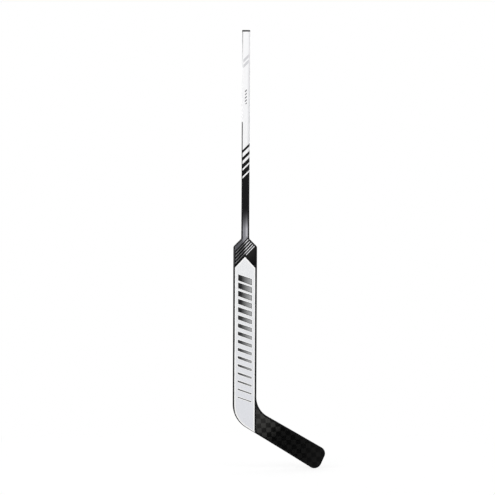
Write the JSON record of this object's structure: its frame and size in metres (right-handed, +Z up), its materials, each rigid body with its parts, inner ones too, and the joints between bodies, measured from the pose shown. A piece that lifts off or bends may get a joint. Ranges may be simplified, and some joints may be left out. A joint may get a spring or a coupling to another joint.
{
  "type": "hockey goalie stick",
  "caption": "Ice-hockey goalkeeper's stick: hollow shaft with an end plug, wide foam-cored paddle with carbon edge rails, and a curved blade for stopping the puck.",
  "frame": {"origin": "on the shaft's axis at the neck, where the blocker hand closes on the stick", "axes": "+Z up the shaft to the butt end, +X towards the blade's side, -Y out of the face that meets the puck"},
  "size_m": [0.3427, 0.033, 1.6182],
  "materials": {
    "end_plug": "satin",
    "shaft_paint": "gloss",
    "edge_carbon": "gloss",
    "spar_carbon": "satin",
    "paddle_paint": "gloss",
    "blade_carbon": "gloss",
    "foam_core": "matte"
  },
  "bodies": {
    "stick": {"shaft_tube": "shaft_paint", "shaft_stopper": "foam_core", "paddle_rail_heel_side": "edge_carbon", "paddle_rail_blade_side": "edge_carbon", "heel_binding": "edge_carbon", "heel_spar": "edge_carbon", "heel_block": "foam_core", "blade_stringer": "spar_carbon", "paddle_front_skin": "paddle_paint", "paddle_back_skin": "paddle_paint", "blade_front_skin": "blade_carbon", "blade_back_skin": "blade_carbon", "paddle_core_middle": "foam_core", "paddle_core_heel_side": "foam_core", "paddle_core_blade_side": "foam_core", "paddle_spar_heel_side": "spar_carbon", "paddle_spar_blade_side": "spar_carbon", "shoulder_block_heel_side": "foam_core", "shoulder_block_blade_side": "foam_core", "blade_top_binding": "edge_carbon", "blade_sole_binding": "edge_carbon", "blade_core_upper": "foam_core", "blade_core_lower": "foam_core"},
    "plug": {"butt_plug": "end_plug"}
  },
  "joints": [
    {"name": "butt_plug_pull", "type": "slide", "parent": "stick", "child": "plug", "axis": [0, 0, 1], "range_m": [0, 0.06]}
  ]
}
